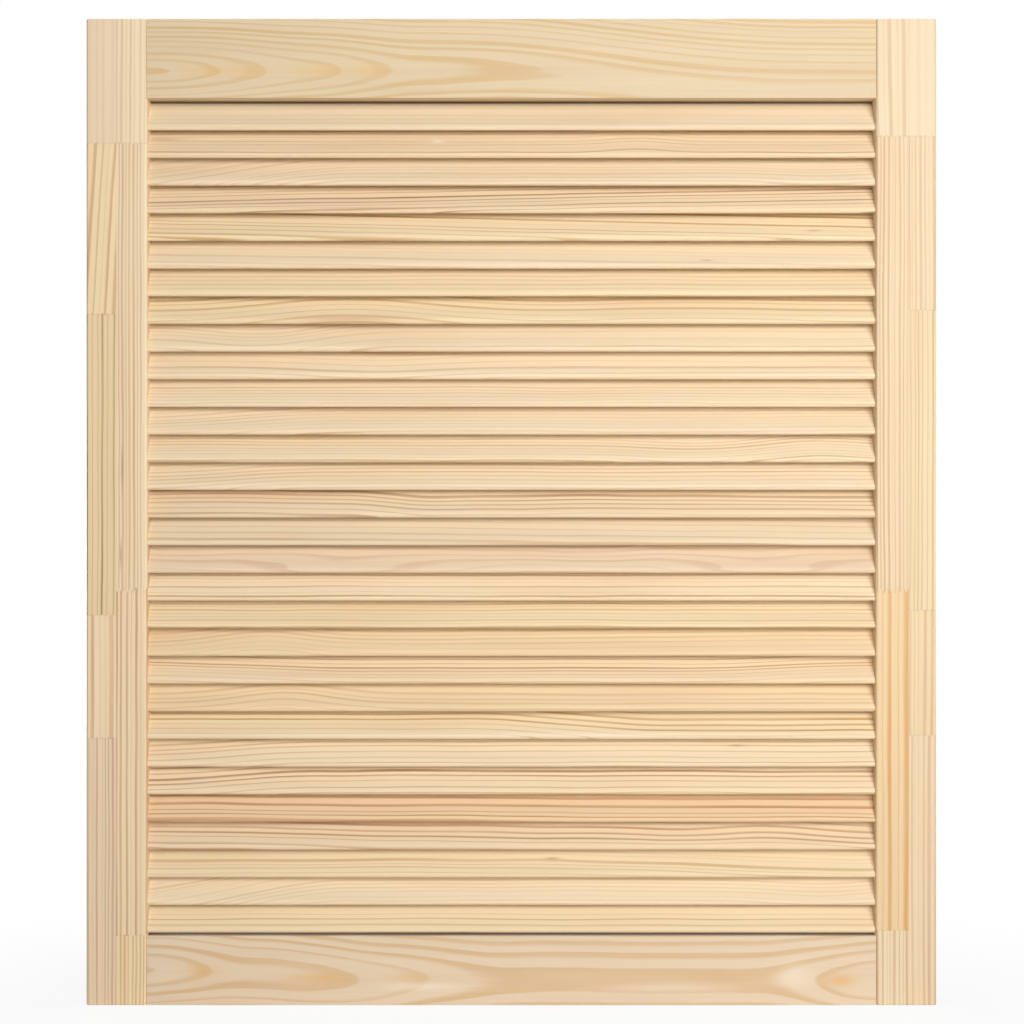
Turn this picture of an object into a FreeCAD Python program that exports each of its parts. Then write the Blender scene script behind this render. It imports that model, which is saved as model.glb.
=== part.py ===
"""Louvred cabinet door leaf in solid pine: two stiles, two rails and a ladder of fixed sloping slats.

Millimetres, +Z up. The origin is the middle of the left stile's outer edge, where the leaf is hung:
half way up it and half way through its thickness. +X runs across to the right stile. -Y is the front.
"""

import FreeCAD
import Part
import Sketcher
import math
import os

# Driving dimensions. Lengths are in millimetres and the slope is in degrees from the horizontal.
DIMENSIONS = {
    "door_width": 595,
    "door_height": 690,
    "door_thickness": 21,
    "stile_width": 42.5,
    "stile_arris": 2,
    "stile_end_bevel": 0.6,
    "top_rail_height": 55.5,
    "bottom_rail_height": 48.6,
    "rail_arris": 0.6,
    "rebate_height": 1.5,
    "rebate_depth": 7.5,
    "slat_count": 30,
    "slat_thickness": 4.5,
    "slat_slope": 57,
    "slat_inset": 2.4,
    "top_slat_gap": 0.6,
    "bottom_slat_gap": 1.1,
    "mortise_depth": 8,
    "mortise_clearance": 0.1,
    "mortise_glue_room": 0.5,
}

# Sizes that follow from the driving dimensions, as expressions on the sheet's cells.
RAIL_LENGTH = "(Sizes.door_width - 2 * Sizes.stile_width)"
OPENING_HEIGHT = "(Sizes.door_height - Sizes.top_rail_height - Sizes.bottom_rail_height)"
SLAT_RUN = "(Sizes.door_thickness - 2 * Sizes.slat_inset - Sizes.slat_thickness)"
SLAT_SPAN = f"({SLAT_RUN} / cos(Sizes.slat_slope * 1 deg))"
SLAT_RISE = f"({SLAT_RUN} * tan(Sizes.slat_slope * 1 deg) + Sizes.slat_thickness)"
SLAT_TENON = "(Sizes.mortise_depth - Sizes.mortise_glue_room)"
LADDER_ROOM = f"({OPENING_HEIGHT} + Sizes.rebate_height - Sizes.top_slat_gap - Sizes.bottom_slat_gap)"
LADDER_HEIGHT = f"({LADDER_ROOM} - {SLAT_RISE})"
SLAT_PITCH = f"({LADDER_HEIGHT} / (Sizes.slat_count - 1))"
LOWEST_SLAT = f"(Sizes.bottom_rail_height + Sizes.bottom_slat_gap + {SLAT_RISE} / 2)"
MORTISE_WIDTH = "(Sizes.slat_thickness + 2 * Sizes.mortise_clearance)"
MORTISE_END = f"({MORTISE_WIDTH} * tan(22.5 deg))"
LEAF_FOOT = "(-Sizes.door_height / 2)"

X_AXIS = FreeCAD.Vector(1, 0, 0)
Z_AXIS = FreeCAD.Vector(0, 0, 1)
ORIGIN = FreeCAD.Vector(0, 0, 0)
QUARTER_TURN = math.pi / 2


def make_sheet(doc):
    """Writes the driving dimensions to a spreadsheet, one named cell each."""
    sheet = doc.addObject("Spreadsheet::Sheet", "Sizes")
    for row, (name, value) in enumerate(DIMENSIONS.items(), start=1):
        sheet.set(f"A{row}", name)
        sheet.set(f"B{row}", str(value))
        sheet.setAlias(f"B{row}", name)
    doc.recompute()
    return sheet


def origin_feature(body, role):
    """The plane or axis of a body's origin that has this role, such as YZ_Plane."""
    return next(feature for feature in body.Origin.OriginFeatures if feature.Role == role)


def bind(item, **expressions):
    """Ties properties to the sheet. A double underscore in a name stands for a dot in the path."""
    for path, expression in expressions.items():
        item.setExpression(path.replace("__", "."), expression)


def add_body(doc, name):
    """A body whose label, the piece's name, is also the name of its file."""
    body = doc.addObject("PartDesign::Body", name)
    body.Label = name
    return body


def add_sketch(body, name, role):
    """An empty sketch on one of the body's origin planes."""
    sketch = body.newObject("Sketcher::SketchObject", name)
    sketch.AttachmentSupport = [(origin_feature(body, role), "")]
    sketch.MapMode = "FlatFace"
    return sketch


def name_constraint(sketch, name, *constraint):
    """Adds a dimension to a sketch under a name that an expression can reach."""
    index = sketch.addConstraint(Sketcher.Constraint(*constraint))
    sketch.renameConstraint(index, name)


def draw_rounded_bar(sketch, width, depth, radius):
    """Draws a rectangle with rounded corners, centred on the sketch's origin.

    Lines 0 to 3 run round it anticlockwise from the foot, and arcs 4 to 7 follow them at the corners.
    """
    half_width, half_depth, corner = 20.0, 10.0, 1.0
    x, y = half_width - corner, half_depth - corner
    rim = [(-x, -half_depth), (x, -half_depth), (half_width, -y), (half_width, y),
           (x, half_depth), (-x, half_depth), (-half_width, y), (-half_width, -y)]
    points = [FreeCAD.Vector(px, py, 0) for px, py in rim]
    centres = [FreeCAD.Vector(px, py, 0) for px, py in [(x, -y), (x, y), (-x, y), (-x, -y)]]
    for side in range(4):
        sketch.addGeometry(Part.LineSegment(points[2 * side], points[2 * side + 1]), False)
    for side in range(4):
        circle = Part.Circle(centres[side], Z_AXIS, corner)
        start = (side - 1) * QUARTER_TURN
        sketch.addGeometry(Part.ArcOfCircle(circle, start, start + QUARTER_TURN), False)
    for side in range(4):
        sketch.addConstraint(Sketcher.Constraint("Tangent", side, 2, 4 + side, 1))
        sketch.addConstraint(Sketcher.Constraint("Tangent", 4 + side, 2, (side + 1) % 4, 1))
    for side in (0, 2):
        sketch.addConstraint(Sketcher.Constraint("Horizontal", side))
        sketch.addConstraint(Sketcher.Constraint("Vertical", side + 1))
    for arc in (5, 6, 7):
        sketch.addConstraint(Sketcher.Constraint("Equal", 4, arc))
    sketch.addConstraint(Sketcher.Constraint("Symmetric", 4, 3, 6, 3, -1, 1))
    name_constraint(sketch, "radius", "Radius", 4, corner)
    name_constraint(sketch, "width", "DistanceX", 7, 1, 4, 2, 2 * half_width)
    name_constraint(sketch, "depth", "DistanceY", 4, 1, 5, 2, 2 * half_depth)
    bind(sketch, Constraints__radius=radius, Constraints__width=width, Constraints__depth=depth)


def draw_slat_section(sketch):
    """Draws a flat bar with full round edges, centred on the origin and lying along the sketch's X."""
    half_span, edge = 10.0, 2.0
    tail = FreeCAD.Vector(half_span, 0, 0)
    nose = FreeCAD.Vector(-half_span, 0, 0)
    up = FreeCAD.Vector(0, edge, 0)
    tail_rim = Part.Circle(tail, Z_AXIS, edge)
    nose_rim = Part.Circle(nose, Z_AXIS, edge)
    sketch.addGeometry(Part.LineSegment(nose - up, tail - up), False)
    sketch.addGeometry(Part.ArcOfCircle(tail_rim, -QUARTER_TURN, QUARTER_TURN), False)
    sketch.addGeometry(Part.LineSegment(tail + up, nose + up), False)
    sketch.addGeometry(Part.ArcOfCircle(nose_rim, QUARTER_TURN, 3 * QUARTER_TURN), False)
    for piece in range(4):
        sketch.addConstraint(Sketcher.Constraint("Tangent", piece, 2, (piece + 1) % 4, 1))
    sketch.addConstraint(Sketcher.Constraint("Horizontal", 0))
    sketch.addConstraint(Sketcher.Constraint("Equal", 1, 3))
    sketch.addConstraint(Sketcher.Constraint("Symmetric", 1, 3, 3, 3, -1, 1))
    name_constraint(sketch, "radius", "Radius", 1, edge)
    name_constraint(sketch, "span", "DistanceX", 3, 3, 1, 3, 2 * half_span)
    bind(sketch, Constraints__radius="Sizes.slat_thickness / 2", Constraints__span=SLAT_SPAN)


def draw_mortise_mouth(sketch):
    """Draws an eight-sided slot that fits round a slat's section, centred and lying along the sketch's X.

    Its ends are halves of a regular octagon. Sides 0 to 7 run round it anticlockwise from the foot.
    """
    half_flat, half_length, half_end, half_width = 11.0, 12.0, 1.0, 2.0
    rim = [(-half_flat, -half_width), (half_flat, -half_width), (half_length, -half_end), (half_length, half_end),
           (half_flat, half_width), (-half_flat, half_width), (-half_length, half_end), (-half_length, -half_end)]
    points = [FreeCAD.Vector(px, py, 0) for px, py in rim]
    sides = len(points)
    for side in range(sides):
        sketch.addGeometry(Part.LineSegment(points[side], points[(side + 1) % sides]), False)
    for side in range(sides):
        sketch.addConstraint(Sketcher.Constraint("Coincident", side, 2, (side + 1) % sides, 1))
    for side in range(sides // 2):
        sketch.addConstraint(Sketcher.Constraint("Symmetric", side, 1, side + sides // 2, 1, -1, 1))
    sketch.addConstraint(Sketcher.Constraint("Symmetric", 0, 1, 0, 2, -2))
    sketch.addConstraint(Sketcher.Constraint("Symmetric", 2, 1, 2, 2, -1))
    name_constraint(sketch, "flat", "DistanceX", 0, 1, 0, 2, 2 * half_flat)
    name_constraint(sketch, "end", "DistanceY", 2, 1, 2, 2, 2 * half_end)
    name_constraint(sketch, "length", "DistanceX", 6, 1, 2, 2, 2 * half_length)
    name_constraint(sketch, "width", "DistanceY", 0, 2, 4, 1, 2 * half_width)
    bind(sketch, Constraints__flat=f"{SLAT_SPAN} + {MORTISE_END}", Constraints__end=MORTISE_END,
         Constraints__length=f"{SLAT_SPAN} + {MORTISE_WIDTH}", Constraints__width=MORTISE_WIDTH)


def add_pad(body, sketch, length):
    """Pushes a sketch's outline out along its normal."""
    pad = body.newObject("PartDesign::Pad", "Length")
    pad.Profile = sketch
    bind(pad, Length=length)
    return pad


def bevel_ends(doc, body, pad):
    """Eases the arrises round both end faces of an upright bar."""
    doc.recompute()
    ends = [f"Face{number}" for number, face in enumerate(pad.Shape.Faces, start=1)
            if abs(face.normalAt(0, 0).z) > 0.99]
    bevel = body.newObject("PartDesign::Chamfer", "EndBevel")
    bevel.Base = (pad, ends)
    bind(bevel, Size="Sizes.stile_end_bevel")


def cut_mortises(doc, body, face_x, points_right):
    """Cuts the sloping blind mortises of all the slats into a stile's inner edge.

    face_x is where that edge lies in the stile's own frame, and points_right says which way it cuts.
    """
    sketch = add_sketch(body, "MortiseMouth", "YZ_Plane")
    sketch.AttachmentOffset = FreeCAD.Placement(ORIGIN, FreeCAD.Rotation(Z_AXIS, 1))
    bind(sketch, AttachmentOffset__Base__y=LOWEST_SLAT, AttachmentOffset__Base__z=face_x,
         AttachmentOffset__Rotation__Angle="Sizes.slat_slope * 1 deg")
    draw_mortise_mouth(sketch)
    doc.recompute()
    before = body.Shape.Volume
    mortise = body.newObject("PartDesign::Pocket", "Mortise")
    mortise.Profile = sketch
    mortise.Reversed = points_right
    bind(mortise, Length="Sizes.mortise_depth")
    doc.recompute()
    if body.Shape.Volume >= before:
        raise RuntimeError(f"{body.Label}: the mortise cuts nothing")
    ladder = body.newObject("PartDesign::LinearPattern", "MortiseLadder")
    ladder.Originals = [mortise]
    ladder.Direction = (origin_feature(body, "Z_Axis"), [""])
    bind(ladder, Length=LADDER_HEIGHT, Occurrences="Sizes.slat_count")
    body.Tip = ladder


def make_stile(doc, name, centre_x, inner_side):
    """An upright bar the full height of the leaf. inner_side is 1 where its inner edge faces right."""
    body = add_body(doc, name)
    bind(body, Placement__Base__x=centre_x, Placement__Base__z=LEAF_FOOT)
    section = add_sketch(body, "Section", "XY_Plane")
    draw_rounded_bar(section, "Sizes.stile_width", "Sizes.door_thickness", "Sizes.stile_arris")
    pad = add_pad(body, section, "Sizes.door_height")
    bevel_ends(doc, body, pad)
    cut_mortises(doc, body, f"{inner_side} * Sizes.stile_width / 2", points_right=inner_side < 0)
    return body


def cut_rebate(doc, body, height):
    """Cuts a step along the lower back edge of a rail, which makes room for the tail of the top slat."""
    sketch = add_sketch(body, "RebateEnd", "YZ_Plane")
    front, back, foot, head = 3.0, 10.0, -20.0, -18.0
    rim = [(front, foot), (back, foot), (back, head), (front, head)]
    points = [FreeCAD.Vector(py, pz, 0) for py, pz in rim]
    sides = len(points)
    for side in range(sides):
        sketch.addGeometry(Part.LineSegment(points[side], points[(side + 1) % sides]), False)
    for side in range(sides):
        sketch.addConstraint(Sketcher.Constraint("Coincident", side, 2, (side + 1) % sides, 1))
    for side in (0, 2):
        sketch.addConstraint(Sketcher.Constraint("Horizontal", side))
        sketch.addConstraint(Sketcher.Constraint("Vertical", side + 1))
    name_constraint(sketch, "depth", "DistanceX", 0, 1, 0, 2, back - front)
    name_constraint(sketch, "height", "DistanceY", 1, 1, 1, 2, head - foot)
    name_constraint(sketch, "back", "DistanceX", -1, 1, 0, 2, back)
    name_constraint(sketch, "foot", "DistanceY", 0, 2, -1, 1, -foot)
    bind(sketch, Constraints__depth="Sizes.rebate_depth", Constraints__height="Sizes.rebate_height",
         Constraints__back="Sizes.door_thickness / 2", Constraints__foot=f"{height} / 2")
    doc.recompute()
    rebate = body.newObject("PartDesign::Pocket", "Rebate")
    rebate.Profile = sketch
    rebate.Reversed = True
    bind(rebate, Length=RAIL_LENGTH)


def make_rail(doc, name, height, centre_z):
    """A cross bar that butts against the inner edges of both stiles."""
    body = add_body(doc, name)
    bind(body, Placement__Base__x="Sizes.stile_width", Placement__Base__z=centre_z)
    section = add_sketch(body, "Section", "YZ_Plane")
    draw_rounded_bar(section, "Sizes.door_thickness", height, "Sizes.rail_arris")
    add_pad(body, section, RAIL_LENGTH)
    return body


def make_slat(doc, name, step):
    """One slat, its nose low at the front and its tail high at the back. step counts up from the lowest."""
    body = add_body(doc, name)
    body.Placement = FreeCAD.Placement(ORIGIN, FreeCAD.Rotation(X_AXIS, 1))
    bind(body, Placement__Base__x=f"Sizes.stile_width - {SLAT_TENON}",
         Placement__Base__z=f"{LEAF_FOOT} + {LOWEST_SLAT} + {step} * {SLAT_PITCH}",
         Placement__Rotation__Angle="Sizes.slat_slope * 1 deg")
    section = add_sketch(body, "Section", "YZ_Plane")
    draw_slat_section(section)
    add_pad(body, section, f"{RAIL_LENGTH} + 2 * {SLAT_TENON}")
    return body


def build(doc):
    """Makes every piece of the leaf. Slats are numbered from the top down."""
    sheet = make_sheet(doc)
    top_rail = make_rail(doc, "top_rail", "Sizes.top_rail_height",
                         f"{LEAF_FOOT} + Sizes.door_height - Sizes.top_rail_height / 2")
    cut_rebate(doc, top_rail, "Sizes.top_rail_height")
    pieces = [
        make_stile(doc, "left_stile", "Sizes.stile_width / 2", 1),
        make_stile(doc, "right_stile", "Sizes.door_width - Sizes.stile_width / 2", -1),
        top_rail,
        make_rail(doc, "bottom_rail", "Sizes.bottom_rail_height",
                  f"{LEAF_FOOT} + Sizes.bottom_rail_height / 2"),
    ]
    count = int(sheet.slat_count)
    for number in range(1, count + 1):
        pieces.append(make_slat(doc, f"slat_{number:02d}", count - number))
    doc.recompute()
    return pieces


def check(doc, pieces):
    """Stops if anything failed to compute or a piece isn't one sound solid."""
    failed = [item.Label for item in doc.Objects if {"Invalid", "Error"} & set(item.State)]
    unsound = [piece.Label for piece in pieces
               if piece.Shape.isNull() or not piece.Shape.isValid() or len(piece.Shape.Solids) != 1]
    if failed or unsound:
        raise RuntimeError(f"failed: {failed}, unsound: {unsound}")


def export(pieces):
    """Writes one STEP file for each piece and prints the piece's volume and box."""
    os.makedirs("parts", exist_ok=True)
    for piece in pieces:
        piece.Shape.exportStep(os.path.join("parts", f"{piece.Label}.step"))
        box = piece.Shape.BoundBox
        low = f"{box.XMin:.2f} {box.YMin:.2f} {box.ZMin:.2f}"
        high = f"{box.XMax:.2f} {box.YMax:.2f} {box.ZMax:.2f}"
        print(f"{piece.Label}: {piece.Shape.Volume:.0f} mm3, from {low} to {high}")


document = FreeCAD.newDocument("louvred_door")
door_pieces = build(document)
check(document, door_pieces)
export(door_pieces)
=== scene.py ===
import logging
import math
from dataclasses import dataclass, replace
from enum import Enum
from typing import Any, Mapping, Optional, Sequence, Union

import bpy
from mathutils import Matrix, Vector


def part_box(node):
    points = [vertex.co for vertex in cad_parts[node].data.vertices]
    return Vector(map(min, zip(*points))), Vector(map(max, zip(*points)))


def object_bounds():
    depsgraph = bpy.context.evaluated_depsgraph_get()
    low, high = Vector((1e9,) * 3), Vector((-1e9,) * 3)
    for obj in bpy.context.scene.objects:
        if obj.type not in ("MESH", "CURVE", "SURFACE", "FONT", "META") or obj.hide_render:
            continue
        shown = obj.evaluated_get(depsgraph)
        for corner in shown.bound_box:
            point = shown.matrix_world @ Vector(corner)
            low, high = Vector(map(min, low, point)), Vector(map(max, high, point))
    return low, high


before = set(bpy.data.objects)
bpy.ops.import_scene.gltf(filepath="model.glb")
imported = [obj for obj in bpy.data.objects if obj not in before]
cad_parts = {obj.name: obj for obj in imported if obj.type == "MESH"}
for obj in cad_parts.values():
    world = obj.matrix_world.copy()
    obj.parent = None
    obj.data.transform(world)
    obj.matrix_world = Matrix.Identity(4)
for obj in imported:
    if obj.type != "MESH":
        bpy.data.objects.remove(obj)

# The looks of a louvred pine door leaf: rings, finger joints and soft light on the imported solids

CAD_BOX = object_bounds()
MM = 0.001

# The curve between a screen's levels and light

FULL_LEVEL = 255
STRAIGHT_END = 0.04045
STRAIGHT_SLOPE = 12.92
CURVE_OFFSET = 0.055
CURVE_POWER = 2.4

Amount = Union[float, "Shade"]
Colour = tuple[float, float, float, float]

WHITE: Colour = (1.0, 1.0, 1.0, 1.0)

log = logging.getLogger("louvred_door")


def paint(red: int, green: int, blue: int) -> Colour:
    """Turns a colour as a screen shows it into scene light.

    Args:
        red: red, from 0 to 255.
        green: green, from 0 to 255.
        blue: blue, from 0 to 255.

    Returns:
        The same colour as linear light, opaque.
    """
    def linear(level: int) -> float:
        """Turns one channel into linear light.

        Args:
            level: the channel, from 0 to 255.

        Returns:
            The channel as light, from 0 to 1.
        """
        share = level / FULL_LEVEL
        if share <= STRAIGHT_END:
            return share / STRAIGHT_SLOPE
        return ((share + CURVE_OFFSET) / (1.0 + CURVE_OFFSET)) ** CURVE_POWER

    return linear(red), linear(green), linear(blue), 1.0


class Shade:
    """A shader socket that takes part in Python arithmetic: each operator adds a Math node."""

    def __init__(self, bench: "Bench", socket: bpy.types.NodeSocket) -> None:
        """Wraps an output socket of a node on the bench."""
        self.bench = bench
        self.socket = socket

    def sibling(self, output: str) -> "Shade":
        """Another output of the same node."""
        return self.bench.output_of(self.socket.node, output)

    def __add__(self, other: Amount) -> "Shade":
        """Self plus other."""
        return self.bench.maths("ADD", self, other)

    __radd__ = __add__

    def __sub__(self, other: Amount) -> "Shade":
        """Self minus other."""
        return self.bench.maths("SUBTRACT", self, other)

    def __rsub__(self, other: Amount) -> "Shade":
        """Other minus self."""
        return self.bench.maths("SUBTRACT", other, self)

    def __mul__(self, other: Amount) -> "Shade":
        """Self times other."""
        return self.bench.maths("MULTIPLY", self, other)

    __rmul__ = __mul__

    def __truediv__(self, other: Amount) -> "Shade":
        """Self over other."""
        return self.bench.maths("DIVIDE", self, other)

    def __rtruediv__(self, other: Amount) -> "Shade":
        """Other over self."""
        return self.bench.maths("DIVIDE", other, self)

    def __gt__(self, other: Amount) -> "Shade":
        """1 where self is greater, else 0."""
        return self.bench.maths("GREATER_THAN", self, other)

    def __lt__(self, other: Amount) -> "Shade":
        """1 where self is less, else 0."""
        return self.bench.maths("LESS_THAN", self, other)

    def __abs__(self) -> "Shade":
        """Self without its sign."""
        return self.bench.maths("ABSOLUTE", self)

    def root(self) -> "Shade":
        """The square root of self."""
        return self.bench.maths("SQRT", self)

    def whole(self) -> "Shade":
        """Self rounded down."""
        return self.bench.maths("FLOOR", self)

    def part(self) -> "Shade":
        """What is left of self after its whole part."""
        return self.bench.maths("FRACT", self)

    def bell(self) -> "Shade":
        """A bell curve of self: 1 at zero, dying away both ways."""
        return self.bench.maths("EXPONENT", self * self * -1.0)

    def smooth(self, low: Amount, high: Amount) -> "Shade":
        """A soft step of self, from 0 at low to 1 at high."""
        return self.bench.node("ShaderNodeMapRange", {"interpolation_type": "SMOOTHSTEP"},
                               {"Value": self, "From Min": low, "From Max": high}, "Result")


class Bench:
    """The node tree of one finish, with a method that adds any node to it."""

    def __init__(self, tree: bpy.types.NodeTree) -> None:
        """Takes over a node tree and clears it."""
        self.tree = tree
        tree.nodes.clear()

    def output_of(self, node: bpy.types.Node, output: str) -> Shade:
        """The output of a node that has this identifier."""
        return Shade(self, next(item for item in node.outputs if item.identifier == output))

    def node(self, kind: str, settings: Mapping[str, Any], sockets: Mapping[str, Any],
             output: Optional[str] = None) -> Optional[Shade]:
        """Adds a node, sets it up and feeds its sockets.

        Args:
            kind: the node's type.
            settings: the node's own settings, which are set first.
            sockets: a value or a Shade for each input, by identifier.
            output: identifier of the output wanted back.

        Returns:
            That output, or None for a node that ends a tree.
        """
        node = self.tree.nodes.new(kind)
        for name, value in settings.items():
            setattr(node, name, value)
        for identifier, value in sockets.items():
            socket = next(item for item in node.inputs if item.identifier == identifier)
            if isinstance(value, Shade):
                self.tree.links.new(value.socket, socket)
            else:
                socket.default_value = value
        return self.output_of(node, output) if output else None

    def maths(self, operation: str, *values: Amount) -> Shade:
        """One Math node on one to three values."""
        sockets = dict(zip(("Value", "Value_001", "Value_002"), values))
        return self.node("ShaderNodeMath", {"operation": operation}, sockets, "Value")

    def vector(self, along: Amount, across: Amount, through: Amount) -> Shade:
        """Three values as one vector."""
        sockets = {"X": along, "Y": across, "Z": through}
        return self.node("ShaderNodeCombineXYZ", {}, sockets, "Vector")

    def split(self, vector: Shade) -> Shade:
        """The first part of a vector, with Y and Z as its siblings."""
        return self.node("ShaderNodeSeparateXYZ", {}, {"Vector": vector}, "X")

    def mix_vector(self, share: Amount, first: Any, second: Any) -> Shade:
        """A vector between two, by share."""
        sockets = {"Factor_Float": share, "A_Vector": first, "B_Vector": second}
        return self.node("ShaderNodeMix", {"data_type": "VECTOR"}, sockets, "Result_Vector")

    def mix_colour(self, share: Amount, first: Any, second: Any) -> Shade:
        """A colour between two, by share."""
        sockets = {"Factor_Float": share, "A_Color": first, "B_Color": second}
        return self.node("ShaderNodeMix", {"data_type": "RGBA"}, sockets, "Result_Color")

    def scale_colour(self, colour: Any, amount: Amount) -> Shade:
        """A colour made lighter or darker by an amount around 1."""
        return self.node("ShaderNodeVectorMath", {"operation": "SCALE"},
                         {"Vector": colour, "Scale": amount}, "Vector")

    def glow(self, strength: Amount) -> Shade:
        """White light of a strength."""
        return self.node("ShaderNodeEmission", {}, {"Color": WHITE, "Strength": strength}, "Emission")

    def wave(self, place: Amount) -> Shade:
        """Smooth random drift along one measure, between about -1 and 1."""
        noise = self.node("ShaderNodeTexNoise", {"noise_dimensions": "1D"},
                          {"W": place, "Scale": 1.0, "Detail": 1.0}, "Fac")
        return noise * 2.0 - 1.0

    def cloud(self, place: Shade) -> Shade:
        """Smooth random drift through space, between about -1 and 1."""
        noise = self.node("ShaderNodeTexNoise", {"noise_dimensions": "3D"},
                          {"Vector": place, "Scale": 1.0, "Detail": 1.0}, "Fac")
        return noise * 2.0 - 1.0

    def chance(self, place: Amount) -> Shade:
        """An even random number from 0 to 1 for each whole place."""
        settings = {"noise_dimensions": "1D"}
        return self.node("ShaderNodeTexWhiteNoise", settings, {"W": place}, "Value")


class BendShape(Enum):
    """How a bend in the growth rings goes on along a board."""

    SWELL = "dies away both ways"
    RISE = "stays at its new level past the place"


@dataclass(frozen=True)
class Bend:
    """A place along a board where its growth rings leave their straight run. Millimetres.

    Attributes:
        place: distance from the board's middle along the grain.
        reach: how far the bend spreads to each side.
        lift: how far the rings move across the face.
        sink: how much deeper the pith lies.
        shape: whether the rings come back afterwards.
    """

    place: float
    reach: float
    lift: float = 0.0
    sink: float = 0.0
    shape: BendShape = BendShape.SWELL

    def weight(self, along: Shade) -> Shade:
        """Finds how much of the bend acts along the board.

        Args:
            along: the place along the grain.

        Returns:
            The share of the bend there, from 0 to 1.
        """
        if self.shape is BendShape.RISE:
            return along.smooth(self.place - self.reach, self.place + self.reach)
        return ((along - self.place) / self.reach).bell()


def swell(place: float, reach: float, lift: float = 0.0, sink: float = 0.0) -> Bend:
    """A bend that dies away both ways."""
    return Bend(place, reach, lift, sink)


def rise(place: float, reach: float, lift: float = 0.0, sink: float = 0.0) -> Bend:
    """A bend to a new level."""
    return Bend(place, reach, lift, sink, BendShape.RISE)


@dataclass(frozen=True)
class GrainCut:
    """How a board was sawn from the log, in millimetres.

    A stile, whose wood changes from stave to stave, holds a Shade in place of some numbers.

    Attributes:
        across: offset of the pith across the face.
        depth: depth of the pith behind the face.
        ring: width of a year's growth.
        lean: how fast the pith moves across the face along the board.
        late: how strongly the summer wood shows, from 0 to 1.
        share: share of a ring that is summer wood.
        wander: how far the rings drift from side to side.
        drift_length: length along the board of that drift.
        bends: places where the rings swell or rise.
        disorder: how far the rings stray from an even, round growth, around 1.
        seed: shifts every random pattern.
    """

    across: Amount
    depth: Amount
    ring: Amount
    lean: Amount = 0.0
    late: Amount = 0.5
    share: float = 0.45
    wander: float = 0.8
    drift_length: float = 150.0
    bends: tuple[Bend, ...] = ()
    disorder: float = 1.0
    seed: Amount = 0.0


@dataclass(frozen=True)
class Tint:
    """The two colours of a pine board: spring wood and summer wood."""

    spring: Colour
    summer: Colour


class Tone(Enum):
    """The casts of colour found among the boards."""

    CREAM = Tint(paint(243, 221, 186), paint(192, 145, 93))
    STRAW = Tint(paint(243, 220, 181), paint(197, 152, 84))
    BLUSH = Tint(paint(243, 218, 181), paint(188, 132, 88))
    HONEY = Tint(paint(243, 217, 175), paint(178, 123, 66))
    ROSE = Tint(paint(238, 213, 181), paint(190, 135, 97))
    TAWNY = Tint(paint(243, 218, 181), paint(152, 100, 58))
    RUSSET = Tint(paint(242, 209, 167), paint(184, 118, 70))
    GOLD = Tint(paint(238, 215, 178), paint(219, 172, 98))
    SAND = Tint(paint(240, 217, 187), paint(219, 174, 112))
    APRICOT = Tint(paint(243, 213, 168), paint(222, 160, 90))
    OLIVE = Tint(paint(236, 210, 168), paint(148, 112, 62))


@dataclass(frozen=True)
class Mark:
    """A stain, a resin streak, a pale scar or a band of painted shade on a board, drawn out along the
    grain. Millimetres.

    Attributes:
        along: its place along the grain from the board's middle.
        across: its place across the face.
        length: how far it reaches each way along the grain.
        width: how far it reaches each way across.
        colour: its colour.
        strength: how much of its colour shows, from 0 to 1.
        through: its place towards the front from the board's middle.
        thickness: how far it reaches each way in that direction, or none where it goes right through.
    """

    along: float
    across: float
    length: float
    width: float
    colour: Colour
    strength: float
    through: float = 0.0
    thickness: Optional[float] = None


# Colours of the marks, the last of them painted shade for the narrow gaps at the rails, and a reach
# along a whole board

RESIN = paint(150, 104, 58)
HEART = paint(206, 150, 112)
AMBER = paint(226, 172, 96)
SCAR = paint(252, 240, 220)
FLAME = paint(230, 182, 106)
# painted shade: a dark brown laid where the slits under the top rail and above the bottom rail fall
# into shadow
PAINTED_GAP_SHADE = paint(78, 44, 15)
WHOLE = 900.0


@dataclass(frozen=True)
class Timber:
    """A place in the wood, in millimetres: along the grain, across the face and out to the front."""

    along: Shade
    across: Shade
    through: Shade


@dataclass(frozen=True)
class Drift:
    """A smooth random unevenness of the wood, drawn out along the grain. Millimetres.

    Attributes:
        length: size of its patches along the grain.
        breadth: their size across the grain.
    """

    length: float
    breadth: float

    def at(self, bench: Bench, spot: Timber, seed: Amount) -> Shade:
        """Measures the drift at a place in a board.

        Args:
            bench: where the nodes go.
            spot: the place in the board.
            seed: shifts the pattern.

        Returns:
            The drift, between about -1 and 1.
        """
        along = spot.along / self.length + seed
        across, through = spot.across / self.breadth, spot.through / self.breadth
        return bench.cloud(bench.vector(along, across, through))


@dataclass(frozen=True)
class Year:
    """How the summer wood, the dark end of a year's growth, varies from ring to ring.

    Attributes:
        pace: how fast the width of the rings changes from one to the next.
        unevenness: how far the rings stray from an even width, in rings.
        least_share: narrowest band, over the board's own share of summer wood.
        share_range: how much wider the widest band is.
        onset: how gently the summer wood sets in, in rings.
        close: where in its year the summer wood begins to end.
        fade_length: length of the paler stretches along a ring, in millimetres.
        fade_breadth: how far across the rings they reach, in millimetres.
        fade_level: how much of the summer wood shows on the whole.
        fade_range: how much that changes from stretch to stretch.
        least_strength: strength of the faintest ring.
        strength_range: how much stronger the strongest ring is.
    """

    pace: float = 0.37
    unevenness: float = 0.55
    least_share: float = 0.55
    share_range: float = 0.9
    onset: float = 0.3
    close: float = 0.92
    fade_length: float = 130.0
    fade_breadth: float = 3.5
    fade_level: float = 0.8
    fade_range: float = 0.5
    least_strength: float = 0.6
    strength_range: float = 0.5


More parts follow.
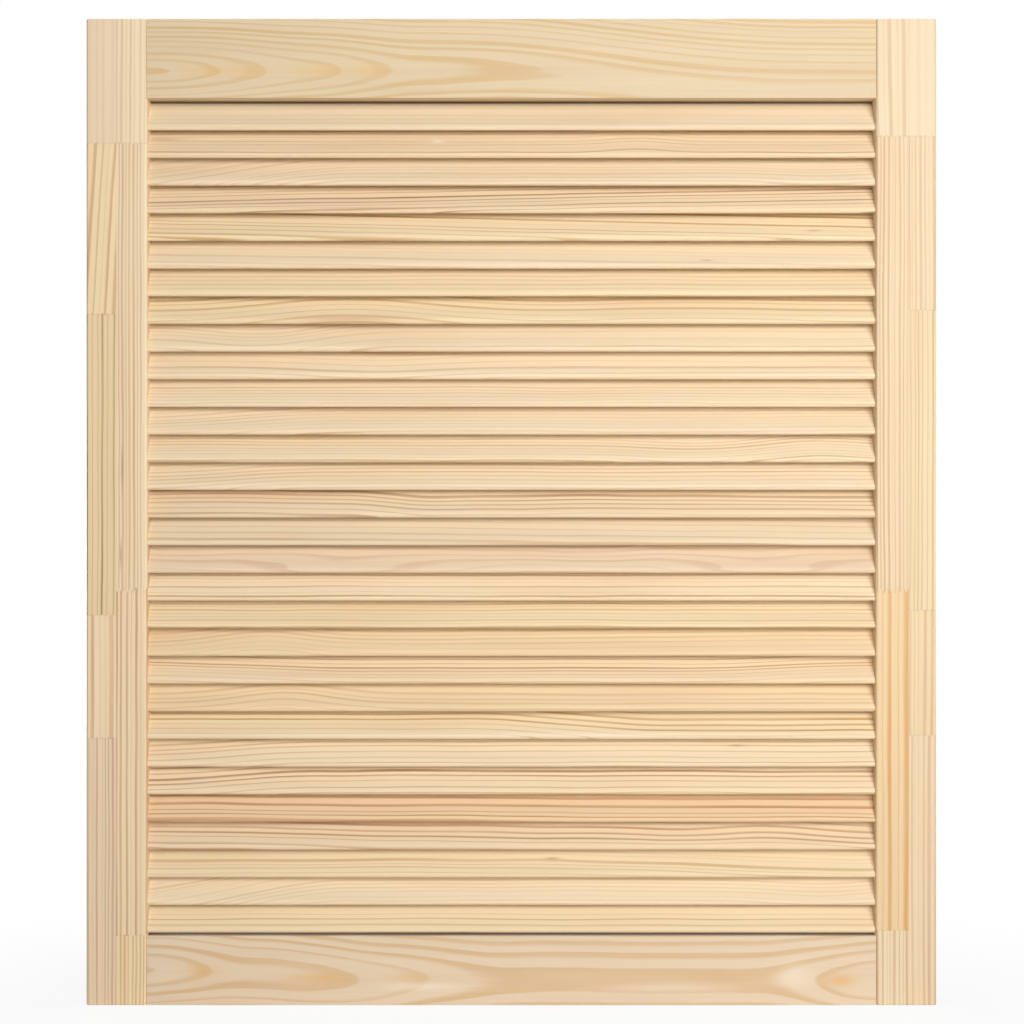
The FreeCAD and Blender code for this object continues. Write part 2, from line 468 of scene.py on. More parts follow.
@dataclass(frozen=True)
class PineFinish:
    """Bare sanded pine: what is the same on every board.

    Attributes:
        roughness: of the spring wood.
        summer_gloss: how much smoother the summer wood is.
        fibre_roughness: how much the fibres change the roughness.
        gloss_level: strength of the surface reflection.
        bump: strength of the relief of rings and fibres.
        relief: height of that relief, in millimetres.
        ring_height: share of the relief that the rings have.
        fibre_height: share of the relief that the fibres have.
        fibre_contrast: how much the fibres lighten and darken the wood.
        cast: the warm colour that some zones lean to.
        cast_share: the most of that colour that shows.
        cast_start: drift at which the warm colour sets in.
        cast_full: drift at which it is at its most.
        cast_shade: how much darker the warm zones are.
        cast_drift: size of those zones.
        broad: size of the rings' broad waves.
        broad_shift: how far those waves move the rings, in millimetres.
        fine: size of the rings' small waves.
        fine_shift: how far those move the rings, in millimetres.
        hair: size of the finest fibres.
        hair_share: how much the finest fibres count.
        streak: size of the longer streaks.
        streak_share: how much the streaks count.
        year: how the summer wood varies.
    """

    roughness: float = 0.62
    summer_gloss: float = 0.12
    fibre_roughness: float = 0.05
    gloss_level: float = 0.25
    bump: float = 0.05
    relief: float = 0.2
    ring_height: float = 0.6
    fibre_height: float = 0.3
    fibre_contrast: float = 0.045
    cast: Colour = paint(233, 196, 155)
    cast_share: float = 0.28
    cast_start: float = -0.1
    cast_full: float = 0.7
    cast_shade: float = 0.02
    cast_drift: Drift = Drift(170.0, 13.0)
    broad: Drift = Drift(95.0, 16.0)
    broad_shift: float = 0.9
    fine: Drift = Drift(28.0, 5.0)
    fine_shift: float = 0.22
    hair: Drift = Drift(60.0, 0.5)
    hair_share: float = 0.5
    streak: Drift = Drift(140.0, 2.2)
    streak_share: float = 0.7
    year: Year = Year()

    def start(self, piece: str) -> tuple[bpy.types.Material, Bench]:
        """Makes an empty material for a piece.

        Args:
            piece: name of the CAD node.

        Returns:
            The material and the bench of its node tree.
        """
        material = bpy.data.materials.new(f"pine_{piece}")
        material.use_nodes = True
        return material, Bench(material.node_tree)

    def place(self, bench: Bench, centre: Vector, turn: Matrix) -> Timber:
        """Measures the wood from a board's own middle.

        Args:
            bench: where the nodes go.
            centre: middle of the board, in metres.
            turn: the board's own axes, as columns: along, across and out to the front.

        Returns:
            The place in the board, in millimetres.
        """
        point = bench.node("ShaderNodeTexCoord", {}, {}, "Object")
        own = bench.node("ShaderNodeMapping", {"vector_type": "TEXTURE"},
                         {"Vector": point, "Location": centre, "Rotation": turn.to_euler(),
                          "Scale": (MM, MM, MM)}, "Vector")
        along = bench.split(own)
        return Timber(along, along.sibling("Y"), along.sibling("Z"))

    def radius(self, bench: Bench, spot: Timber, face: float, cut: GrainCut) -> Shade:
        """Finds the distance from the pith, which the growth rings follow.

        Args:
            bench: where the nodes go.
            spot: the place in the board.
            face: how far the face lies in front of the board's middle.
            cut: how the board was sawn.

        Returns:
            The distance in millimetres, with the wood's own unevenness.
        """
        sway = bench.wave(spot.along / cut.drift_length + cut.seed)
        pith_across = spot.along * cut.lean + cut.across + sway * cut.wander
        pith_depth = cut.depth
        for bend in cut.bends:
            weight = bend.weight(spot.along)
            if bend.lift:
                pith_across = pith_across + weight * bend.lift
            if bend.sink:
                pith_depth = pith_depth + weight * bend.sink
        sideways = spot.across - pith_across
        inwards = spot.through - face + pith_depth
        radius = (sideways * sideways + inwards * inwards).root()
        broad = self.broad.at(bench, spot, cut.seed) * (self.broad_shift * cut.disorder)
        return radius + broad + self.fine.at(bench, spot, cut.seed) * self.fine_shift

    def summer_wood(self, bench: Bench, spot: Timber, radius: Shade, cut: GrainCut) -> Shade:
        """Draws the darker band that ends each year's growth.

        Args:
            bench: where the nodes go.
            spot: the place in the board.
            radius: distance from the pith.
            cut: how the board was sawn.

        Returns:
            How much summer wood shows, from 0 to 1.
        """
        year = self.year
        rings = radius / cut.ring
        stray = bench.wave(rings * year.pace + cut.seed) * (year.unevenness * cut.disorder)
        count = rings + stray
        luck = bench.chance(count.whole() + cut.seed)
        age = count.part()
        start = 1.0 - (luck * year.share_range + year.least_share) * cut.share
        band = age.smooth(start, start + year.onset) - age.smooth(year.close, 1.0)
        along = spot.along / year.fade_length + cut.seed
        stretch = bench.cloud(bench.vector(along, radius / year.fade_breadth, 0.0))
        fade = stretch * year.fade_range + year.fade_level
        return band * fade * (luck * year.strength_range + year.least_strength)

    def fibres(self, bench: Bench, spot: Timber, seed: Amount) -> Shade:
        """Draws fine streaks along the grain.

        Args:
            bench: where the nodes go.
            spot: the place in the board.
            seed: shifts the pattern.

        Returns:
            The streaks, between about -1 and 1.
        """
        hair = self.hair.at(bench, spot, seed)
        streak = self.streak.at(bench, spot, seed)
        return hair * self.hair_share + streak * self.streak_share

    def colour(self, bench: Bench, spot: Timber, cut: GrainCut, spring: Any, summer: Any,
               band: Shade, streaks: Shade, value: float) -> Shade:
        """Colours the wood by its rings, its fibres and a slow drift of cast.

        Args:
            bench: where the nodes go.
            spot: the place in the board.
            cut: how the board was sawn.
            spring: colour of the spring wood.
            summer: colour of the summer wood.
            band: how much summer wood shows.
            streaks: the fine fibres.
            value: how light the whole board is, around 1.

        Returns:
            The colour of the wood.
        """
        ringed = bench.mix_colour(band * cut.late, spring, summer)
        drift = self.cast_drift.at(bench, spot, cut.seed)
        lean = drift.smooth(self.cast_start, self.cast_full) * self.cast_share
        warm = bench.mix_colour(lean, ringed, self.cast)
        light = streaks * self.fibre_contrast - drift * self.cast_shade + value
        return bench.scale_colour(warm, light)

    def stain(self, bench: Bench, spot: Timber, colour: Shade, marks: Sequence[Mark]) -> Shade:
        """Lays a board's marks over its colour, painted shade among them.

        Args:
            bench: where the nodes go.
            spot: the place in the board.
            colour: colour of the wood.
            marks: the board's marks.

        Returns:
            The marked colour.
        """
        for mark in marks:
            along = (spot.along - mark.along) / mark.length
            across = (spot.across - mark.across) / mark.width
            spread = along * along + across * across
            if mark.thickness:
                inside = (spot.through - mark.through) / mark.thickness
                spread = spread + inside * inside
            cover = bench.maths("EXPONENT", spread * -1.0)
            colour = bench.mix_colour(cover * mark.strength, colour, mark.colour)
        return colour

    def coat(self, bench: Bench, colour: Shade, band: Shade, streaks: Shade) -> None:
        """Ends a material: colour, roughness and relief on one shader.

        Args:
            bench: where the nodes go.
            colour: colour of the wood.
            band: how much summer wood shows.
            streaks: the fine fibres.
        """
        roughness = self.roughness - band * self.summer_gloss + streaks * self.fibre_roughness
        height = band * self.ring_height + streaks * self.fibre_height
        relief = bench.node("ShaderNodeBump", {},
                            {"Strength": self.bump, "Distance": self.relief * MM, "Height": height},
                            "Normal")
        shader = bench.node("ShaderNodeBsdfPrincipled", {},
                            {"Base Color": colour, "Roughness": roughness, "Normal": relief,
                             "Specular IOR Level": self.gloss_level}, "BSDF")
        bench.node("ShaderNodeOutputMaterial", {}, {"Surface": shader})


PINE = PineFinish()


@dataclass(kw_only=True)
class Board:
    """One CAD piece of the leaf.

    Attributes:
        name: the CAD node.
        cut: how it was sawn.
        value: how light it is, around 1.
        marks: its stains and streaks, and any painted shade in its gaps.
    """

    name: str
    cut: GrainCut
    value: float = 1.0
    marks: tuple[Mark, ...] = ()

    @property
    def turn(self) -> Matrix:
        """The board's axes as columns: along the grain, across the face and out to the front."""
        return Matrix.Rotation(math.pi / 2, 3, "X")

    @property
    def centre(self) -> Vector:
        """Middle of the piece, in metres."""
        low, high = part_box(self.name)
        return (Vector(low) + Vector(high)) / 2

    @property
    def face(self) -> float:
        """How far the front face lies from the middle, in millimetres."""
        low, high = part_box(self.name)
        return (high[1] - low[1]) / 2 / MM

    def dress(self) -> None:
        """Makes the board's own finish and puts it in every slot of the piece."""
        material, bench = PINE.start(self.name)
        self.finish(bench, PINE.place(bench, self.centre, self.turn))
        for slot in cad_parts[self.name].material_slots:
            slot.material = material
        log.info("%s: %d nodes", material.name, len(material.node_tree.nodes))

    def wood(self, bench: Bench, spot: Timber, cut: GrainCut, spring: Any,
             summer: Any) -> tuple[Shade, Shade, Shade]:
        """Draws rings, fibres and marks.

        Args:
            bench: where the nodes go.
            spot: the place in the board.
            cut: how the wood there was sawn.
            spring: colour of its spring wood.
            summer: colour of its summer wood.

        Returns:
            The marked colour, how much summer wood shows, and the fine fibres.
        """
        band = PINE.summer_wood(bench, spot, PINE.radius(bench, spot, self.face, cut), cut)
        streaks = PINE.fibres(bench, spot, cut.seed)
        colour = PINE.colour(bench, spot, cut, spring, summer, band, streaks, self.value)
        return PINE.stain(bench, spot, colour, self.marks), band, streaks

    def finish(self, bench: Bench, spot: Timber) -> None:
        """Draws the whole board, each kind of board in its own way."""
        raise NotImplementedError(self.name)


@dataclass(kw_only=True)
class Plank(Board):
    """A board that is one piece of timber.

    Attributes:
        tone: its cast of colour.
    """

    tone: Tone

    def finish(self, bench: Bench, spot: Timber) -> None:
        """Draws the board in its one tone."""
        tint = self.tone.value
        PINE.coat(bench, *self.wood(bench, spot, self.cut, tint.spring, tint.summer))


@dataclass(kw_only=True)
class Rail(Plank):
    """A cross bar of the frame, sawn flat, so that its rings show as long tongues."""


@dataclass(kw_only=True)
class Slat(Plank):
    """A thin sloping board of the louvre.

    Attributes:
        slope: how far it is turned up from the horizontal.
        thickness: in millimetres.
    """

    slope: float = math.radians(57.0)
    thickness: float = 4.5

    @classmethod
    def sawn(cls, number: int, tone: Tone, cut: GrainCut, value: float = 1.0,
             marks: tuple[Mark, ...] = ()) -> "Slat":
        """Makes a slat by its number, which also shifts its random patterns.

        Args:
            number: its place, counted from the top.
            tone: its cast of colour.
            cut: how it was sawn.
            value: how light it is, around 1.
            marks: its stains and streaks, and any painted shade in its gaps.

        Returns:
            The slat.
        """
        return cls(name=f"slat_{number:02d}", tone=tone, cut=replace(cut, seed=float(number)),
                   value=value, marks=marks)

    @property
    def turn(self) -> Matrix:
        """The slat's axes: along the leaf, up the slope and out of its upper face."""
        return Matrix.Rotation(self.slope, 3, "X")

    @property
    def face(self) -> float:
        """Half the slat's thickness, in millimetres."""
        return self.thickness / 2


@dataclass(frozen=True)
class Stave:
    """One of the short lengths that are finger-jointed into a stile.

    Attributes:
        cut: how it was sawn.
        tone: its cast of colour.
        foot: where it ends, down from the stile's middle, in millimetres.
        tooth: length of the fingers at that end, in millimetres.
    """

    cut: GrainCut
    tone: Tone
    foot: float = math.inf
    tooth: float = 1.2


@dataclass(frozen=True)
class Growth:
    """What the staves of a stile differ in, as values that a gate can choose between.

    Attributes:
        pith: offset across, depth and ring width.
        habit: lean, strength of the summer wood and seed.
        spring: colour of the spring wood.
        summer: colour of the summer wood.
    """

    pith: Any
    habit: Any
    spring: Any
    summer: Any

    @classmethod
    def of(cls, stave: Stave) -> "Growth":
        """The growth of one stave."""
        cut = stave.cut
        return cls((cut.across, cut.depth, cut.ring), (cut.lean, cut.late, cut.seed),
                   stave.tone.value.spring, stave.tone.value.summer)

    def until(self, bench: Bench, gate: Shade, other: "Growth") -> "Growth":
        """This growth where the gate is 0 and the other where it is 1."""
        return Growth(bench.mix_vector(gate, self.pith, other.pith),
                      bench.mix_vector(gate, self.habit, other.habit),
                      bench.mix_colour(gate, self.spring, other.spring),
                      bench.mix_colour(gate, self.summer, other.summer))


@dataclass(kw_only=True)
class Stile(Board):
    """An upright of the frame, glued up from two columns of finger-jointed staves.

    Its cut holds what the staves share. Pith, ring, lean, strength and seed are each stave's own.

    Attributes:
        seam: where the columns meet, across from the stile's middle, in millimetres.
        left: the staves of the left column, from the top down.
        right: the staves of the right column, from the top down.
        finger: width of a pair of fingers, in millimetres.
        glue: half the width of a glue line, in millimetres.
        glue_shade: how much darker a glue line is.
        seam_share: how much of a glue line shows along the seam.
    """

    seam: float
    left: tuple[Stave, ...]
    right: tuple[Stave, ...]
    finger: float = 3.9
    glue: float = 0.35
    glue_shade: float = 0.12
    seam_share: float = 0.5

    @property
    def turn(self) -> Matrix:
        """The stile's axes: down its length, across to the right and out to the front."""
        return Matrix(((0.0, 1.0, 0.0), (0.0, 0.0, -1.0), (-1.0, 0.0, 0.0)))

    def column(self, bench: Bench, spot: Timber, staves: Sequence[Stave]) -> tuple[Growth, Amount]:
        """Stacks one column of staves.

        Args:
            bench: where the nodes go.
            spot: the place in the stile.
            staves: the staves from the top down.

        Returns:
            The growth at each place, and how much of a glue line shows there.
        """
        half = self.finger / 2
        zigzag = bench.maths("PINGPONG", spot.across, half) / half - 0.5
        growth = Growth.of(staves[0])
        line: Amount = 0.0
        for upper, lower in zip(staves, staves[1:]):
            past = spot.along + zigzag * upper.tooth - upper.foot
            growth = growth.until(bench, past > 0.0, Growth.of(lower))
            line = line + (past / self.glue).bell()
        return growth, line

    def finish(self, bench: Bench, spot: Timber) -> None:
        """Draws the staves, their joints and the seam between the columns.

        Args:
            bench: where the nodes go.
            spot: the place in the stile.
        """
        left, left_line = self.column(bench, spot, self.left)
        right, right_line = self.column(bench, spot, self.right)
        side = spot.across > self.seam
        growth = left.until(bench, side, right)
        seam_line = ((spot.across - self.seam) / self.glue).bell() * self.seam_share
        line = left_line + (right_line - left_line) * side + seam_line
        across = bench.split(growth.pith)
        lean = bench.split(growth.habit)
        cut = replace(self.cut, across=across, depth=across.sibling("Y"), ring=across.sibling("Z"),
                      lean=lean, late=lean.sibling("Y"), seed=lean.sibling("Z"))
        colour, band, streaks = self.wood(bench, spot, cut, growth.spring, growth.summer)
        PINE.coat(bench, bench.scale_colour(colour, 1.0 - line * self.glue_shade), band, streaks)


@dataclass
class Ladder:
    """The louvre, as it looks in the photograph, each slat with its own grain.

    Attributes:
        slats: the slats from the top down.
    """

    slats: tuple[Slat, ...] = (
        Slat.sawn(1, Tone.CREAM, GrainCut(-60, 8, 3.5, late=0.2, share=0.4),
                  # painted shade: a dark band along slat 1's upper edge, where it lies in shadow
                  # under the top rail
                  marks=(Mark(0, 11, WHOLE, 0.9, PAINTED_GAP_SHADE, 0.85),)),
        Slat.sawn(2, Tone.BLUSH, GrainCut(-70, 10, 3.4, late=0.68, bends=(swell(88, 28, 3.5),)),
                  value=0.985,
                  marks=(Mark(-52, 0, 4, 1.5, SCAR, 0.6), Mark(-246, 2, 16, 1.2, RESIN, 0.35))),
        Slat.sawn(3, Tone.CREAM, GrainCut(-46, 6, 2.9, late=0.36,
                                          bends=(rise(-195, 85, 26), swell(213, 40, -3)))),
        Slat.sawn(4, Tone.TAWNY, GrainCut(-71.7, 12, 3.4, lean=0.025, late=0.9), value=0.985,
                  marks=(Mark(-90, -11, 60, 1.0, HEART, 0.6),)),
        Slat.sawn(5, Tone.STRAW, GrainCut(60, 10, 3.8, lean=-0.03, late=1.0), value=1.01,
                  marks=(Mark(212, -6, 5, 0.8, RESIN, 0.4),)),
        Slat.sawn(6, Tone.CREAM, GrainCut(-50, 8, 3.1, lean=-0.02, late=0.32), value=1.01,
                  marks=(Mark(137, -8, 4, 0.7, RESIN, 0.4),)),
        Slat.sawn(7, Tone.STRAW, GrainCut(-80, 10, 3.2, late=0.48), value=1.01),
        Slat.sawn(8, Tone.STRAW, GrainCut(-30, 6, 4.6, late=0.64,
                                          bends=(swell(-115, 75, 11), swell(120, 90, 3))),
                  marks=(Mark(-115, -11, 40, 3, HEART, 0.5),)),
        Slat.sawn(9, Tone.CREAM, GrainCut(-60, 8, 4.0, late=0.45,
                                          bends=(swell(-182, 45, -6), rise(-120, 50, 7))),
                  value=1.01),
        Slat.sawn(10, Tone.CREAM, GrainCut(-70, 8, 4.2, late=0.5, bends=(swell(-92, 60, -4),)),
                  value=1.03, marks=(Mark(-70, 7, 60, 1.2, HEART, 0.5),)),
        Slat.sawn(11, Tone.CREAM, GrainCut(-70, 8, 2.7, late=0.54), value=1.02),
        Slat.sawn(12, Tone.CREAM, GrainCut(-60, 8, 2.9, late=0.5, bends=(rise(-190, 80, 9),)),
                  value=1.01),
        Slat.sawn(13, Tone.CREAM, GrainCut(-44, 8, 2.5, late=0.66,
                                           bends=(swell(122, 50, -4), swell(215, 40, 4))),
                  value=1.01, marks=(Mark(-141, 6, 45, 1.0, AMBER, 0.5),)),
        Slat.sawn(14, Tone.CREAM, GrainCut(-60, 8, 3.2, late=0.63, bends=(rise(-200, 70, 7),)),
                  value=1.01),
        Slat.sawn(15, Tone.TAWNY, GrainCut(-80, 10, 3.9, late=0.6, share=0.5, wander=1.4,
                                           bends=(rise(-85, 32, -5),)), value=0.99,
                  marks=(Mark(-190, 4, 80, 5, HEART, 0.25),)),
        Slat.sawn(16, Tone.CREAM, GrainCut(-60, 8, 5.0, lean=-0.012, late=0.54), value=0.955),
        Slat.sawn(17, Tone.ROSE, GrainCut(-14, 13, 3.5, late=0.39, share=0.6, wander=2.4,
                                          drift_length=90.0,
                                          bends=(swell(-120, 70, 5, 6), swell(40, 60, -5, -4),
                                                 swell(180, 60, 5, 6)))),
        Slat.sawn(18, Tone.CREAM, GrainCut(-80, 8, 3.5, late=1.0), value=1.03),
        Slat.sawn(19, Tone.STRAW, GrainCut(-80, 8, 2.7, late=0.71), value=0.99),
        Slat.sawn(20, Tone.HONEY, GrainCut(-40, 8, 3.7, lean=0.012, late=0.38,
                                           bends=(swell(-174, 45, 8),)), value=0.985),
        Slat.sawn(21, Tone.BLUSH, GrainCut(-60, 8, 2.8, late=0.87,
                                           bends=(rise(-190, 80, -5), rise(190, 80, 5)))),
        Slat.sawn(22, Tone.HONEY, GrainCut(-40, 8, 3.7, late=0.39, bends=(swell(-160, 45, 8),)),
                  value=0.99, marks=(Mark(230, 7, 30, 1.2, AMBER, 0.6),)),
        Slat.sawn(23, Tone.STRAW, GrainCut(60, 10, 4.0, late=1.0, bends=(rise(40, 70, -9),)),
                  marks=(Mark(0, -11, 240, 1.4, SCAR, 0.4),)),
        Slat.sawn(24, Tone.CREAM, GrainCut(-50, 8, 3.8, late=0.74, bends=(rise(-200, 70, 7),)),
                  value=1.02, marks=(Mark(159, 2, 5, 0.9, RESIN, 0.45),)),
        Slat.sawn(25, Tone.TAWNY, GrainCut(-80, 8, 4.1, late=0.83, bends=(rise(-200, 70, 7),)),
                  value=1.02),
        Slat.sawn(26, Tone.RUSSET, GrainCut(90, 10, 4.6, lean=-0.006, late=0.95, share=0.55),
                  value=0.98),
        Slat.sawn(27, Tone.BLUSH, GrainCut(90, 10, 4.0, lean=-0.02, late=0.9, share=0.5,
                                           wander=1.2, bends=(swell(190, 50, 4),)), value=0.98),
        Slat.sawn(28, Tone.STRAW, GrainCut(-80, 10, 3.5, late=0.57, bends=(rise(130, 120, -7),)),
                  marks=(Mark(29, 0, 5, 0.9, RESIN, 0.45),)),
        Slat.sawn(29, Tone.CREAM, GrainCut(-46, 6, 2.9, late=0.35,
                                           bends=(rise(-195, 85, 26), swell(217, 40, -3))),
                  value=1.02),
        Slat.sawn(30, Tone.STRAW, GrainCut(-80, 10, 4.8, late=0.75)),
    )

    def dress(self) -> None:
        """Finishes every slat."""
        for slat in self.slats:
            slat.dress()


@dataclass
class Surround:
    """The frame of the leaf: two rails and two stiles."""

    def rails(self) -> tuple[Rail, Rail]:
        """Sets out the rails as they look in the photograph.

        Returns:
            The top rail and the bottom rail.
        """
        top = GrainCut(-8.5, 9.5, 3.3, late=0.55, share=0.6, wander=0.6, disorder=0.45, seed=41.0,
                       bends=(rise(-190, 60, 0, 9), rise(-105, 40, 0, 5.5), rise(0, 90, 0, 3),
                              rise(90, 120, -18)))
        top_marks = (Mark(-215, -8.5, 16, 4, FLAME, 0.36), Mark(-187, -8.5, 16, 4, FLAME, 0.36),
                     Mark(-137, -8.5, 18, 4, FLAME, 0.36), Mark(-101, -8.5, 16, 4.5, FLAME, 0.36),
                     # painted shade: the underside of the rail's lower edge darkened, where the slit
                     # above slat 1 falls into shadow
                     Mark(0, -27.75, WHOLE, 0.8, PAINTED_GAP_SHADE, 0.9, through=-1.5, thickness=4))
        bottom = GrainCut(0, 9, 5.0, late=0.75, share=0.6, wander=1.2, drift_length=70.0,
                          disorder=0.4, seed=42.0,
                          bends=(rise(-222, 38, 0, 8), rise(-155, 60, -7), rise(-80, 85, 0, 11.5),
                                 rise(217, 45, 0, -8)))
        bottom_marks = (Mark(230, -7, 11, 4.5, AMBER, 0.6), Mark(-216, 0, 12, 4, FLAME, 0.45),
                        Mark(-136, -5, 22, 3, FLAME, 0.55), Mark(-72, -5, 14, 3, FLAME, 0.4),
                        Mark(-62, -11, 24, 2.5, SCAR, 0.45), Mark(110, -12, 45, 3, SCAR, 0.4),
                        Mark(198, -3, 12, 8, SCAR, 0.35),
                        # painted shade: the rail's top face darkened behind slat 30, where the gap
                        # above the rail lies in shadow; from behind it shows as a dark strip
                        Mark(0, 24.3, WHOLE, 0.6, PAINTED_GAP_SHADE, 0.97, through=4.6, thickness=4.2))
        return (Rail(name="top_rail", cut=top, tone=Tone.GOLD, value=0.87, marks=top_marks),
                Rail(name="bottom_rail", cut=bottom, tone=Tone.SAND, value=0.91, marks=bottom_marks))

    def stiles(self) -> tuple[Stile, Stile]:
        """Sets out the stiles as they look in the photograph.

        Returns:
            The left stile and the right stile.
        """
        plain = GrainCut(-40, 8, 3.0, share=0.5, wander=0.5, drift_length=260.0)
        left = Stile(
            name="left_stile", cut=plain, value=0.985, seam=0.0,
            left=(Stave(GrainCut(-60, 8, 6.0, late=0.15, seed=50.0), Tone.ROSE, -257.9),
                  Stave(GrainCut(-48, 8, 5.0, lean=-0.06, late=0.55, seed=51.0), Tone.HONEY, -138.3),
                  Stave(GrainCut(-60, 8, 3.7, late=0.9, seed=52.0), Tone.OLIVE, 72.2),
                  Stave(GrainCut(-60, 8, 4.5, late=0.55, seed=53.0), Tone.BLUSH, 158.2),
                  Stave(GrainCut(-60, 8, 2.8, late=0.6, seed=54.0), Tone.ROSE)),
            right=(Stave(GrainCut(60, 8, 3.2, late=0.5, seed=55.0), Tone.CREAM, -257.9),
                   Stave(GrainCut(60, 8, 2.6, late=0.6, seed=56.0), Tone.CREAM, 54.7, 4.5),
                   Stave(GrainCut(60, 8, 3.4, late=0.75, seed=57.0), Tone.BLUSH, 296.0),
                   Stave(GrainCut(60, 8, 2.8, late=0.7, seed=58.0), Tone.STRAW)),
            marks=(Mark(-31, 4, 14, 0.7, RESIN, 0.5), Mark(30, 3, 9, 0.7, RESIN, 0.5)))
        right = Stile(
            name="right_stile", cut=plain, value=0.915, seam=1.6,
            left=(Stave(GrainCut(-60, 8, 5.0, lean=0.015, late=0.5, seed=60.0), Tone.CREAM, -262.8),
                  Stave(GrainCut(-60, 8, 2.7, late=0.55, seed=61.0), Tone.BLUSH, 54.7, 4.5),
                  Stave(GrainCut(-60, 8, 5.6, late=0.9, seed=62.0), Tone.APRICOT, 292.4),
                  Stave(GrainCut(-60, 8, 2.8, late=0.55, seed=63.0), Tone.CREAM)),
            right=(Stave(GrainCut(60, 8, 6.0, late=0.15, seed=64.0), Tone.CREAM, -262.8),
                   Stave(GrainCut(60, 8, 3.0, late=0.5, seed=65.0), Tone.BLUSH, -141.1),
                   Stave(GrainCut(60, 8, 3.3, late=0.7, seed=66.0), Tone.STRAW, 68.7),
                   Stave(GrainCut(60, 8, 4.0, late=0.35, seed=67.0), Tone.HONEY, 156.1),
                   Stave(GrainCut(60, 8, 4.5, late=0.4, seed=68.0), Tone.BLUSH)))
        return left, right

    def dress(self) -> None:
        """Finishes the rails and the stiles."""
        for board in (*self.rails(), *self.stiles()):
            board.dress()


# A ray has a depth of 1 where it reaches the first surface, and of 2 where it has bounced

DIRECT_DEPTH = 1.5


@dataclass(frozen=True)
class Lamp:
    """A square soft box that faces the leaf's middle.

    Attributes:
        name: the lamp's name.
        offset: its place from the leaf's middle, in metres.
        size: its side, in metres.
        power: in watts.
        bounces: whether its light goes on from one surface to the next.
    """

    name: str
    offset: tuple[float, float, float]
    size: float
    power: float
    bounces: bool = True

    def hang(self, middle: Vector) -> None:
        """Adds the lamp to the scene.

        Args:
            middle: middle of the leaf, in metres.
        """
        offset = Vector(self.offset)
        bpy.ops.object.light_add(type="AREA", location=middle + offset)
        item = bpy.context.object
        item.name = self.name
        item.data.shape = "SQUARE"
        item.data.size = self.size
        item.data.energy = self.power
        item.rotation_euler = (-offset).to_track_quat("-Z", "Y").to_euler()
        if not self.bounces:
            self.keep_direct(item.data)
        log.info("lamp %s: %.1f W", self.name, self.power)

    def keep_direct(self, lamp: bpy.types.Light) -> None:
        """Leaves out the lamp's light wherever it would arrive by way of another surface.

        Args:
            lamp: the lamp's data.
        """
        lamp.use_nodes = True
        bench = Bench(lamp.node_tree)
        depth = bench.node("ShaderNodeLightPath", {}, {}, "Ray Depth")
        light = bench.glow(depth < DIRECT_DEPTH)
        bench.node("ShaderNodeOutputLight", {}, {"Surface": light})


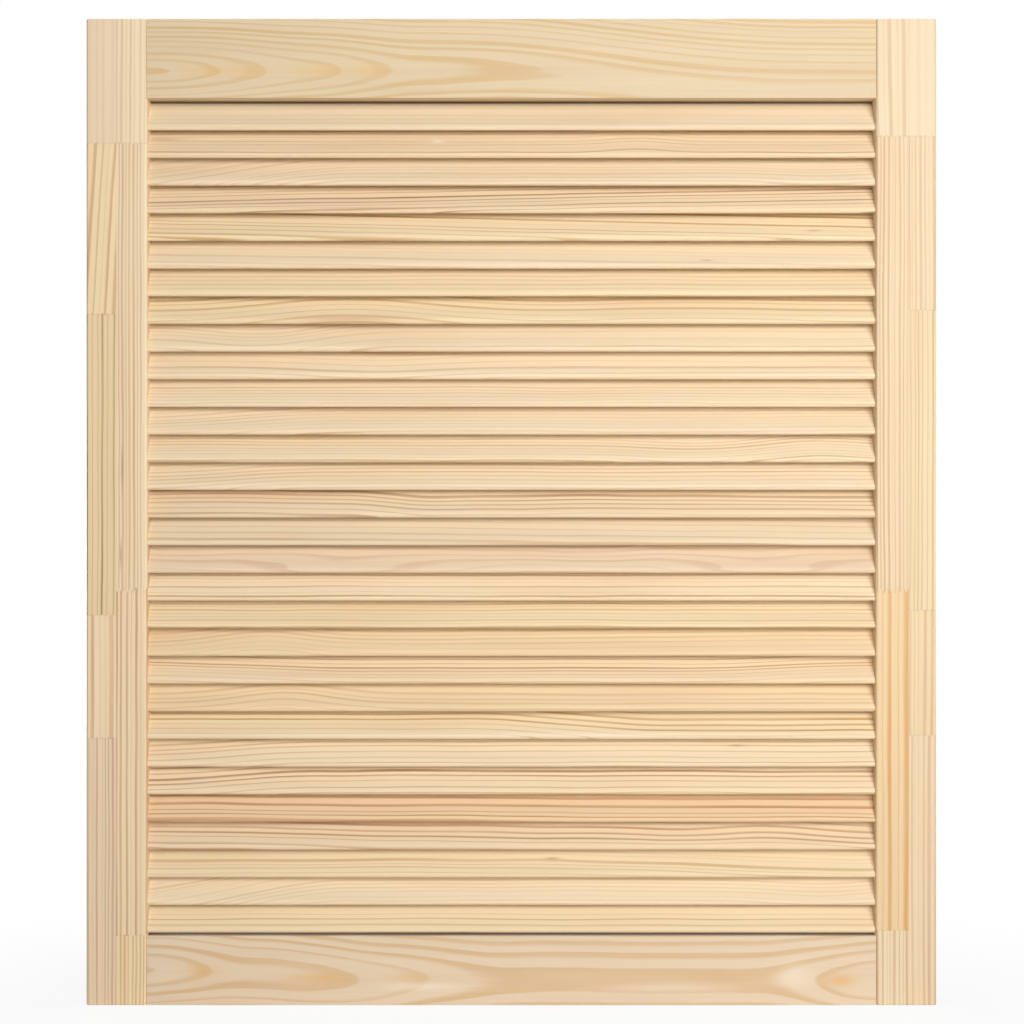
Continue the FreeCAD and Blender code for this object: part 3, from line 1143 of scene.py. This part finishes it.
@dataclass
class Studio:
    """A pale floor, soft lamps and the camera.

    Attributes:
        middle: middle of the leaf, in metres.
        size: width, depth and height of the leaf, in metres.
        lamps: the soft boxes.
        room_light: strength of the light from the room's walls.
        floor_size: side of the floor, in metres.
        floor_grey: reflectance of the floor.
        floor_roughness: roughness of the floor.
        floor_glow: share of plain white that the eye sees on the floor near the leaf.
        clear_ring: distance from the leaf where the floor turns plain white to the eye, in metres.
        distance: from the camera to the leaf's front, in metres.
        scale: pixels per millimetre at the leaf's front.
        shift: how far right of the leaf's middle the camera stands, in metres.
        pixels: width of the picture.
        sensor: width of the camera's sensor, in millimetres.
    """

    middle: Vector
    size: Vector
    lamps: tuple[Lamp, ...] = (
        Lamp("key", (0.66, -1.75, 0.46), 1.0, 31.2),
        Lamp("low_fill", (0.25, -0.9, -0.28), 0.2, 0.5),
        Lamp("side_fill", (-2.4, -2.0, 0.6), 0.5, 7.0),
        Lamp("back_left", (-1.5, 1.5, -0.1), 0.4, 30.0, bounces=False),
        Lamp("back_right", (1.6, 1.0, -0.1), 0.4, 22.0, bounces=False),
        Lamp("overhead", (0.0, 0.0, 1.3), 0.3, 5.0, bounces=False),
    )
    room_light: float = 0.04
    floor_size: float = 12.0
    floor_grey: float = 0.85
    floor_roughness: float = 0.9
    floor_glow: float = 0.9
    clear_ring: float = 0.3
    distance: float = 1.2
    scale: float = 1.430
    shift: float = 0.0004
    pixels: int = 1024
    sensor: float = 36.0

    def seen(self, bench: Bench) -> Shade:
        """Tells rays that show the surroundings themselves from the light they shed.

        Args:
            bench: where the nodes go.

        Returns:
            1 for rays that show them, else 0.
        """
        camera = bench.node("ShaderNodeLightPath", {}, {}, "Is Camera Ray")
        gloss = bench.maths("MAXIMUM", camera, camera.sibling("Is Glossy Ray"))
        return bench.maths("MAXIMUM", gloss, camera.sibling("Is Transmission Ray"))

    def lay_floor(self) -> None:
        """A wide pale floor, white to the eye except where the leaf shades it."""
        bpy.ops.object.select_all(action="DESELECT")
        foot = self.middle - Vector((0.0, 0.0, self.size.z / 2))
        bpy.ops.mesh.primitive_plane_add(size=self.floor_size, location=foot)
        floor = bpy.context.object
        floor.name = "studio_floor"
        material = bpy.data.materials.new("pale_floor")
        material.use_nodes = True
        bench = Bench(material.node_tree)
        point = bench.node("ShaderNodeTexCoord", {}, {}, "Object")
        side = bench.split(point)
        beside = bench.maths("MAXIMUM", abs(side) - self.size.x / 2, 0.0)
        away = (beside * beside + side.sibling("Y") * side.sibling("Y")).root()
        glow_share = away.smooth(0.0, self.clear_ring) * (1.0 - self.floor_glow) + self.floor_glow
        grey = (self.floor_grey,) * 3 + (1.0,)
        matt = bench.node("ShaderNodeBsdfPrincipled", {},
                          {"Base Color": grey, "Roughness": self.floor_roughness,
                           "Specular IOR Level": 0.0}, "BSDF")
        mixed = bench.node("ShaderNodeMixShader", {},
                           {"Fac": self.seen(bench) * glow_share, "Shader": matt,
                            "Shader_001": bench.glow(1.0)}, "Shader")
        bench.node("ShaderNodeOutputMaterial", {}, {"Surface": mixed})
        floor.data.materials.append(material)
        log.info("floor at %.3f m", foot.z)

    def light_room(self) -> None:
        """Walls that are white to the eye and shed a softer light on the wood."""
        world = bpy.data.worlds.new("studio")
        bpy.context.scene.world = world
        world.use_nodes = True
        bench = Bench(world.node_tree)
        strength = self.seen(bench) * (1.0 - self.room_light) + self.room_light
        back = bench.node("ShaderNodeBackground", {}, {"Color": WHITE, "Strength": strength},
                          "Background")
        bench.node("ShaderNodeOutputWorld", {}, {"Surface": back})
        for lamp in self.lamps:
            lamp.hang(self.middle)

    def set_camera(self) -> None:
        """A long lens square to the leaf's front."""
        front = self.middle.y - self.size.y / 2
        place = (self.middle.x + self.shift, front - self.distance, self.middle.z)
        bpy.ops.object.camera_add(location=place)
        camera = bpy.context.object
        camera.name = "front_camera"
        camera.data.sensor_width = self.sensor
        camera.data.lens = self.distance / MM * self.scale * self.sensor / self.pixels
        camera.rotation_euler = (math.pi / 2, 0.0, 0.0)
        bpy.context.scene.camera = camera
        bpy.context.scene.view_settings.view_transform = "Standard"
        log.info("camera at %.2f m, lens %.1f mm", self.distance, camera.data.lens)


def main() -> None:
    """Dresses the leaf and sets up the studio."""
    logging.basicConfig(level=logging.INFO, format="%(name)s: %(message)s")
    low, high = (Vector(corner) for corner in CAD_BOX)
    Surround().dress()
    Ladder().dress()
    studio = Studio((low + high) / 2, high - low)
    studio.lay_floor()
    studio.light_room()
    studio.set_camera()


if __name__ == "__main__":
    main()
